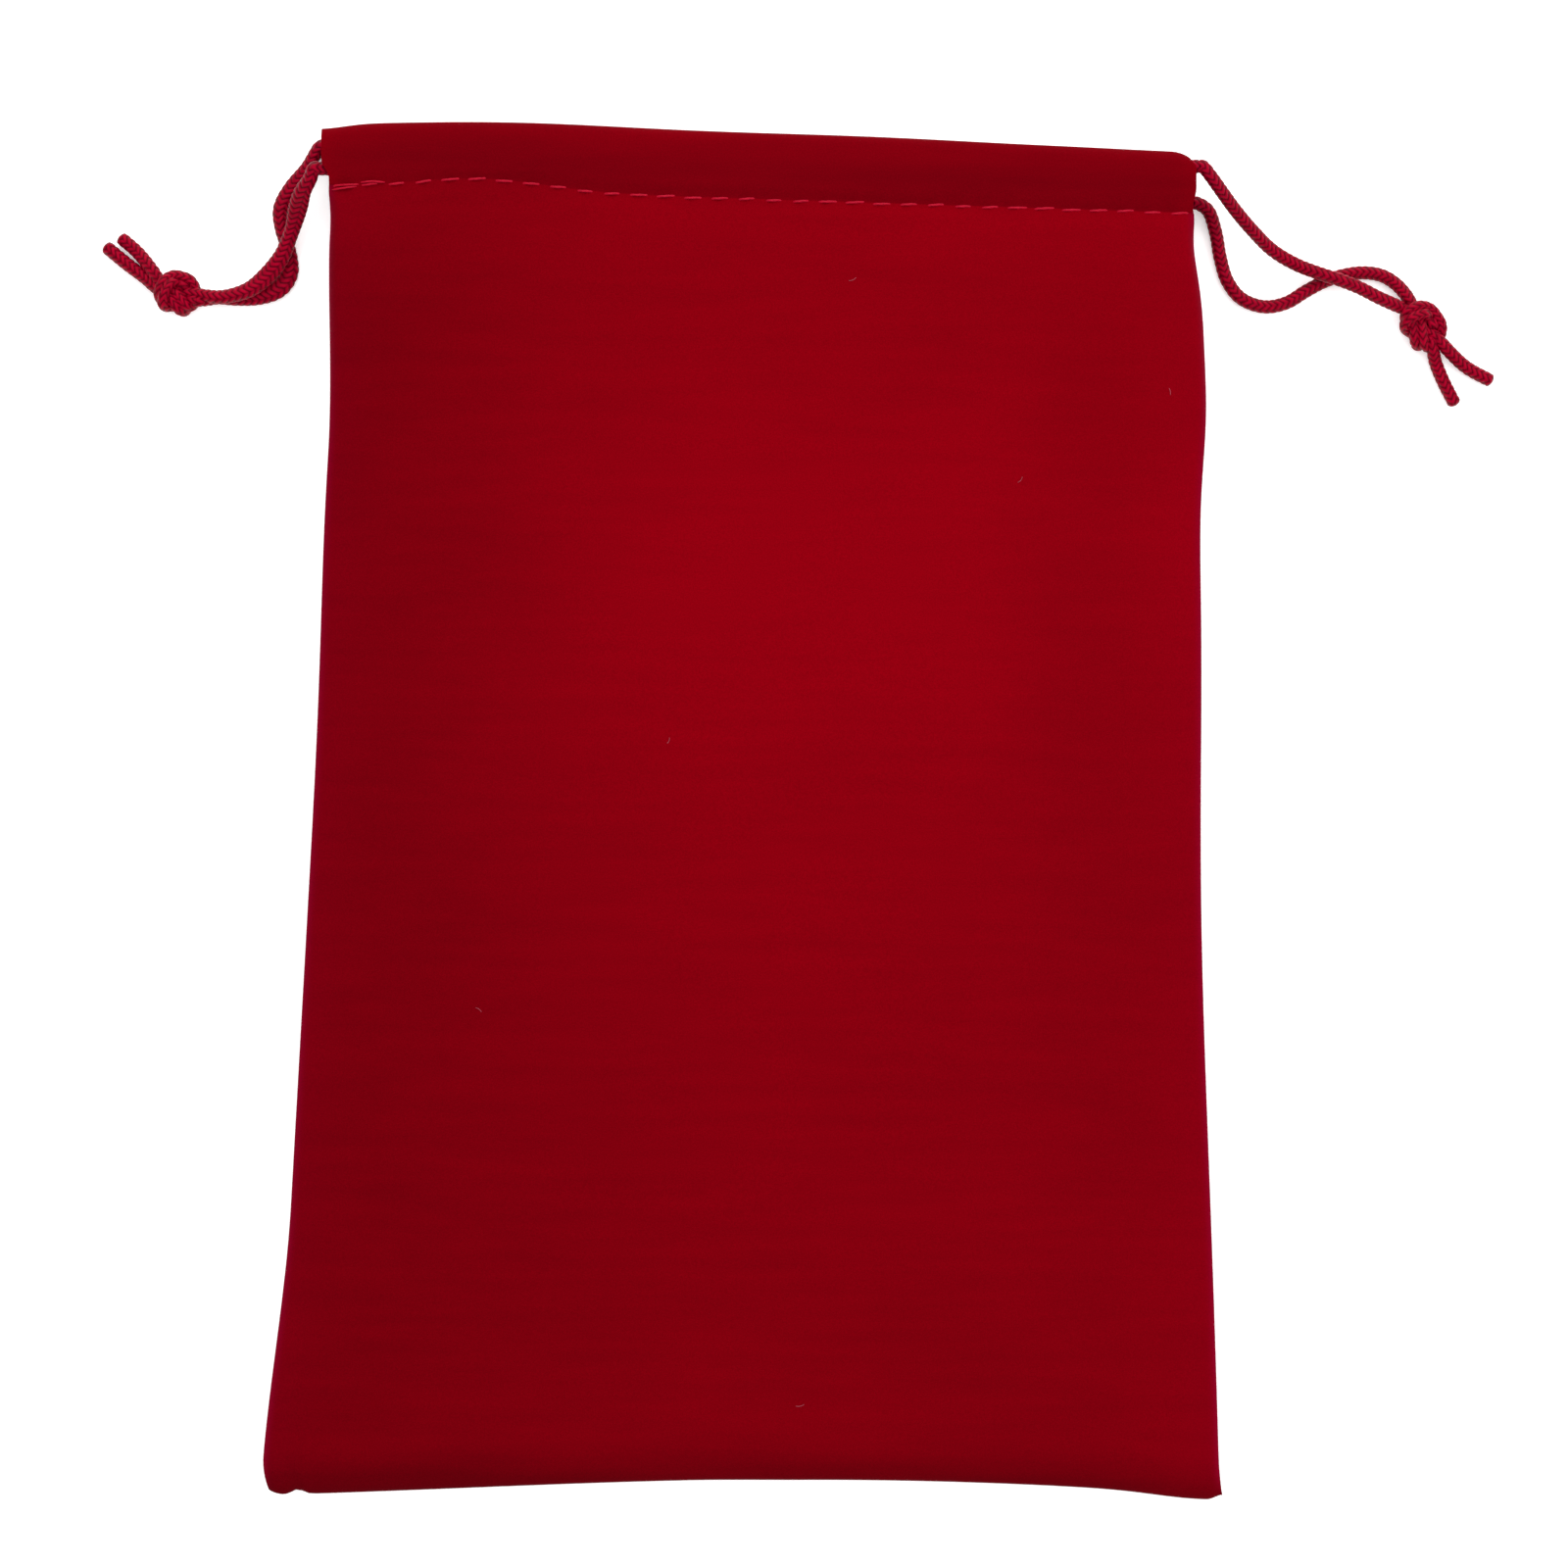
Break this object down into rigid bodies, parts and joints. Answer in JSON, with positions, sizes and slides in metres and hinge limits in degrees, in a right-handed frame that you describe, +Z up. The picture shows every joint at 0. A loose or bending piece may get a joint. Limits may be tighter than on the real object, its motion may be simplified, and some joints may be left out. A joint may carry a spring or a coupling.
{
  "type": "fabric gift sack",
  "caption": "Flat velvet drawstring gift pouch lying on its back, with a stitched hem casing at the mouth and a knotted braided drawstring at each mouth corner.",
  "frame": {"origin": "middle of the sack's own box, without the free cords, on the surface that it lies on", "axes": "+X across the sack to the right, +Y from its sewn bottom towards its mouth, +Z up, out of the front panel"},
  "size_m": [0.2317, 0.2284, 0.0126],
  "materials": {
    "velvet": "deep red short-pile velvet with a soft sheen and faint nap streaks",
    "cord": "crimson braided nylon cord with a herringbone braid and satin highlights",
    "thread": "bright red twisted polyester sewing thread"
  },
  "bodies": {
    "sack": {"front_panel": "velvet", "back_panel": "velvet", "front_hem_casing": "velvet", "back_hem_casing": "velvet", "left_seam_allowance": "velvet", "right_seam_allowance": "velvet", "bottom_seam_allowance": "velvet", "left_seam_thread": "thread", "right_seam_thread": "thread", "bottom_seam_thread": "thread", "front_hem_thread": "thread", "back_hem_thread": "thread", "front_back_tack": "thread", "back_back_tack": "thread"},
    "left_drawstring": {"left_cord_loop": "cord", "left_front_strand": "cord", "left_back_strand": "cord", "left_knot": "cord", "left_upper_tail": "cord", "left_lower_tail": "cord"},
    "right_drawstring": {"right_cord_loop": "cord", "right_front_strand": "cord", "right_back_strand": "cord", "right_knot": "cord", "right_upper_tail": "cord", "right_lower_tail": "cord"}
  },
  "joints": [
    {"name": "left_draw", "type": "slide", "parent": "sack", "child": "left_drawstring", "axis": [-0.9995, 0.0314, 0], "range_m": [0, 0.048], "deforming": ["front_hem_casing", "back_hem_casing"]},
    {"name": "right_draw", "type": "slide", "parent": "sack", "child": "right_drawstring", "axis": [0.9995, -0.0314, 0], "range_m": [0, 0.048], "deforming": ["front_hem_casing", "back_hem_casing"]}
  ]
}
